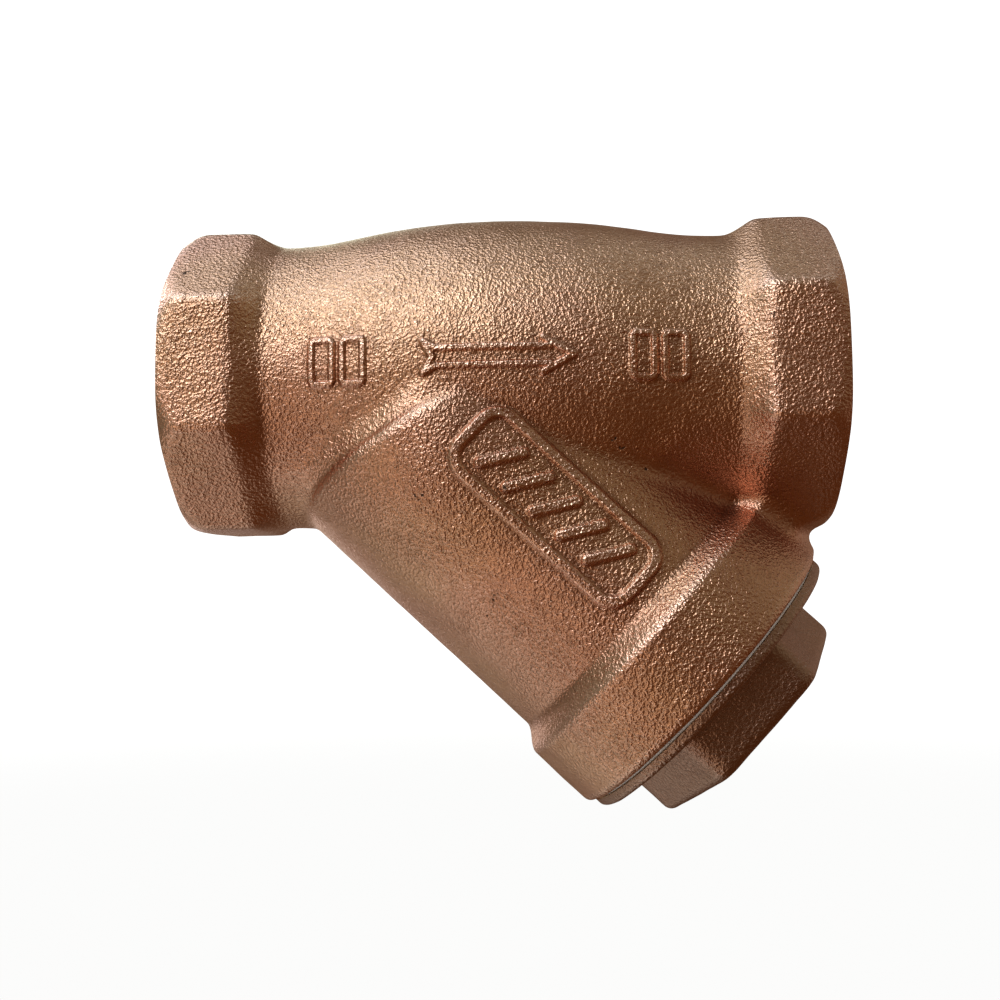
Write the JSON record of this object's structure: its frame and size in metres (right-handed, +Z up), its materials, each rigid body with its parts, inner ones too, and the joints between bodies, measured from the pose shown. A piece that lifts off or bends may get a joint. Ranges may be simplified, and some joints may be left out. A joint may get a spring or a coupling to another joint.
{
  "type": "y strainer",
  "caption": "Threaded bronze Y strainer: octagonal female ends, inclined branch, screwed hexagon cap, flat gasket and removable cylindrical screen.",
  "frame": {"origin": "centre of the inlet face, on the run axis", "axes": "+X along the run from inlet to outlet, +Z up, away from the branch; the branch lies in the XZ plane and runs down towards the outlet"},
  "size_m": [0.1495, 0.079, 0.1404],
  "materials": {
    "cast_bronze": "shot-blasted sand casting",
    "cast_bronze_cap": "shot-blasted sand casting",
    "gasket_ptfe": "skived sheet",
    "screen_steel": "rolled and perforated",
    "mesh_steel": "plain woven wire",
    "ring_steel": "turned",
    "weld_steel": "spot-welded, straw tint"
  },
  "bodies": {
    "body": {"body_casting": "cast_bronze"},
    "screen": {"screen_tube": "screen_steel", "screen_mesh_liner": "mesh_steel", "screen_seat_ring": "ring_steel", "screen_end_ring": "ring_steel", "screen_seam_strip": "screen_steel", "screen_seam_welds": "weld_steel"},
    "gasket": {"cap_gasket": "gasket_ptfe"},
    "cap": {"screen_cap": "cast_bronze_cap"}
  },
  "joints": [
    {"name": "screen_draw", "type": "slide", "parent": "body", "child": "screen", "axis": [0.7314, 0, -0.682], "range_m": [0, 0.1]},
    {"name": "cap_advance", "type": "slide", "parent": "screen", "child": "gasket", "axis": [0.7314, 0, -0.682], "range_m": [0, 0.014]},
    {"name": "cap_turn", "type": "hinge", "parent": "gasket", "child": "cap", "pos_m": [0.12029, 0, -0.07161], "axis": [0.7314, 0, -0.682], "range_deg": [0, 2520]}
  ],
  "couplings": [
    {"joint": "cap_advance", "follows": "cap_turn", "m_per_rad": 0.00031831}
  ]
}
